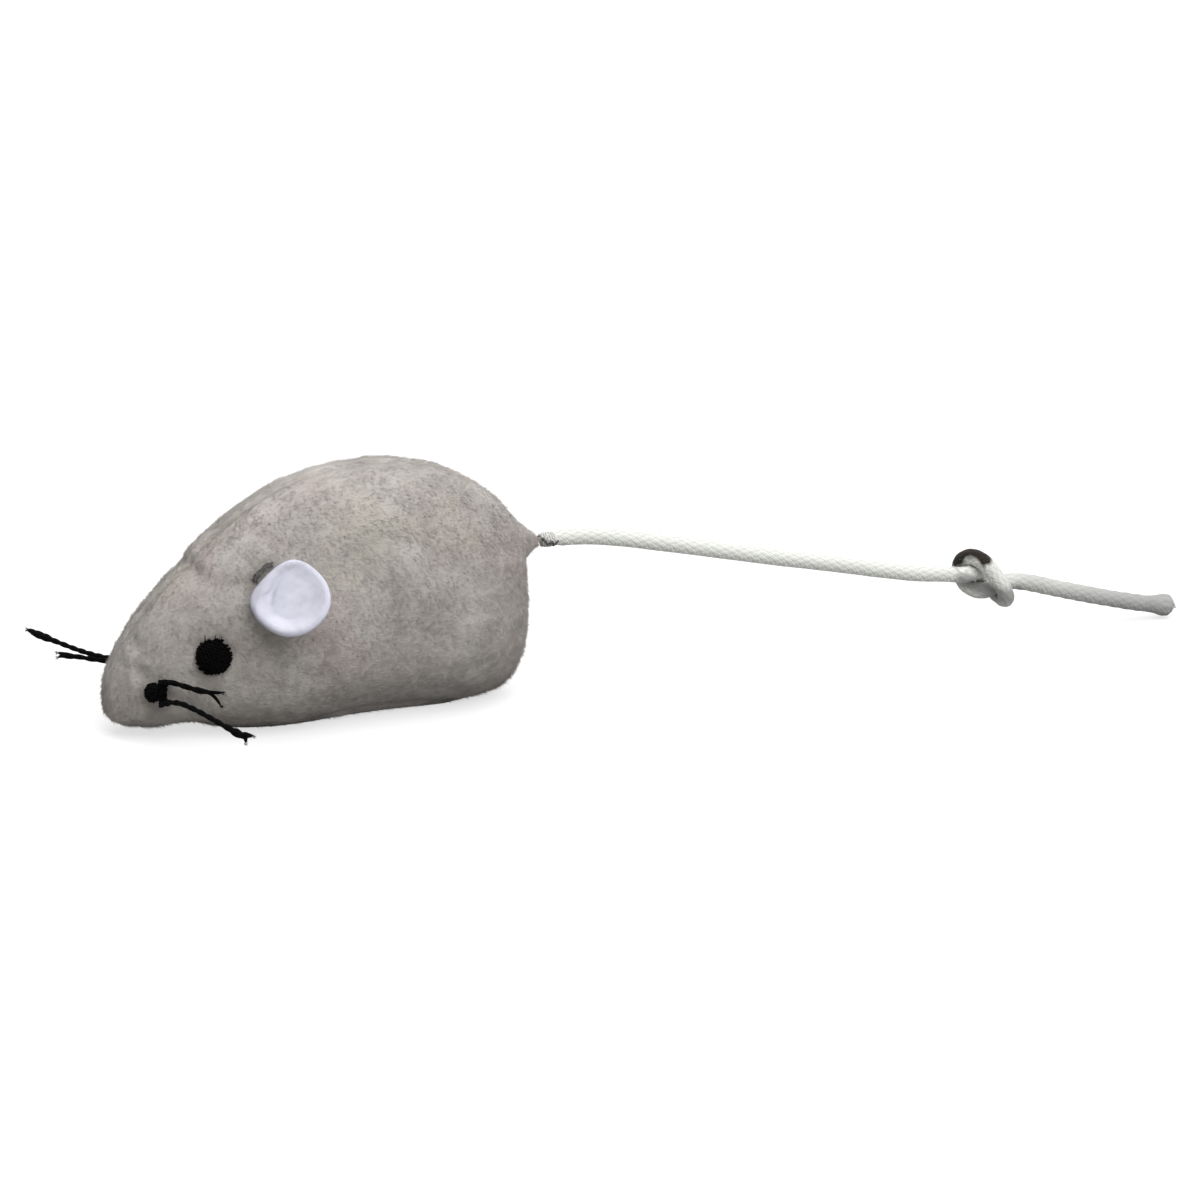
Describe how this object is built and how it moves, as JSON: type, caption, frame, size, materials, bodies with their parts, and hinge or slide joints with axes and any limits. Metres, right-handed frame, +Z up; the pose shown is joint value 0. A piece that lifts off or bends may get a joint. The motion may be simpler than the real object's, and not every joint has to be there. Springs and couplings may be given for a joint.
{
  "type": "plush mouse cat toy",
  "caption": "Small stuffed plush mouse for cats, with felt ears, embroidered eyes, thread whiskers and a braided cord tail tied in a knot.",
  "frame": {"origin": "middle of the flat face on the belly panel that the toy rests on", "axes": "+X from the nose to the tail, +Y to the mouse's right, +Z up"},
  "size_m": [0.1409, 0.0465, 0.0295],
  "materials": {
    "grey_plush": "short soft pile, matt",
    "fibre": "loose polyester stuffing",
    "white_felt": "matt felt with a fuzzy edge",
    "black_thread": "stranded sewing and embroidery thread",
    "grey_thread": "sewing thread",
    "white_cord": "soft round braid"
  },
  "bodies": {
    "stuffed_body": {"left_side_panel": "grey_plush", "right_side_panel": "grey_plush", "base_panel": "grey_plush", "fibre_filling": "fibre", "back_seam_thread": "grey_thread", "base_seam_thread": "grey_thread", "ear_left_stitch": "grey_thread", "ear_right_stitch": "grey_thread", "eye_left": "black_thread", "eye_right": "black_thread", "whisker_knot_left": "black_thread", "whisker_knot_right": "black_thread", "whisker_inner_thread": "black_thread", "tail_inner_cord": "white_cord"},
    "tail_root": {"tail_whipping": "grey_thread"},
    "tail": {"tail_cord": "white_cord"},
    "left_ear": {"ear_left": "white_felt"},
    "right_ear": {"ear_right": "white_felt"},
    "left_long_whisker": {"whisker_left_long": "black_thread"},
    "left_short_whisker": {"whisker_left_short": "black_thread"},
    "right_long_whisker": {"whisker_right_long": "black_thread"},
    "right_short_whisker": {"whisker_right_short": "black_thread"}
  },
  "joints": [
    {"name": "tail_swing", "type": "hinge", "parent": "stuffed_body", "child": "tail_root", "pos_m": [0.02928, 0, 0.01761], "axis": [0, 0, 1], "range_deg": [-70, 70]},
    {"name": "tail_lift", "type": "hinge", "parent": "tail_root", "child": "tail", "pos_m": [0.02928, 0, 0.01761], "axis": [0, -1, 0], "range_deg": [0, 75]},
    {"name": "ear_left_flap", "type": "hinge", "parent": "stuffed_body", "child": "left_ear", "pos_m": [-0.00881, -0.00904, 0.01944], "axis": [-0.7618, 0.0273, -0.6473], "range_deg": [-10, 50], "stiffness_Nm_per_rad": 0.0002},
    {"name": "ear_right_flap", "type": "hinge", "parent": "stuffed_body", "child": "right_ear", "pos_m": [-0.00881, 0.00904, 0.01944], "axis": [0.7618, 0.0273, 0.6473], "range_deg": [-10, 50], "stiffness_Nm_per_rad": 0.0002},
    {"name": "whisker_left_long_swing", "type": "hinge", "parent": "stuffed_body", "child": "left_long_whisker", "pos_m": [-0.02149, -0.0066, 0.00613], "axis": [0, 0, 1], "range_deg": [-20, 20]},
    {"name": "whisker_left_short_swing", "type": "hinge", "parent": "stuffed_body", "child": "left_short_whisker", "pos_m": [-0.02149, -0.0066, 0.00613], "axis": [0, 0, 1], "range_deg": [-20, 20]},
    {"name": "whisker_right_long_swing", "type": "hinge", "parent": "stuffed_body", "child": "right_long_whisker", "pos_m": [-0.02149, 0.0066, 0.00613], "axis": [0, 0, 1], "range_deg": [-20, 20]},
    {"name": "whisker_right_short_swing", "type": "hinge", "parent": "stuffed_body", "child": "right_short_whisker", "pos_m": [-0.02149, 0.0066, 0.00613], "axis": [0, 0, 1], "range_deg": [-20, 20]}
  ]
}
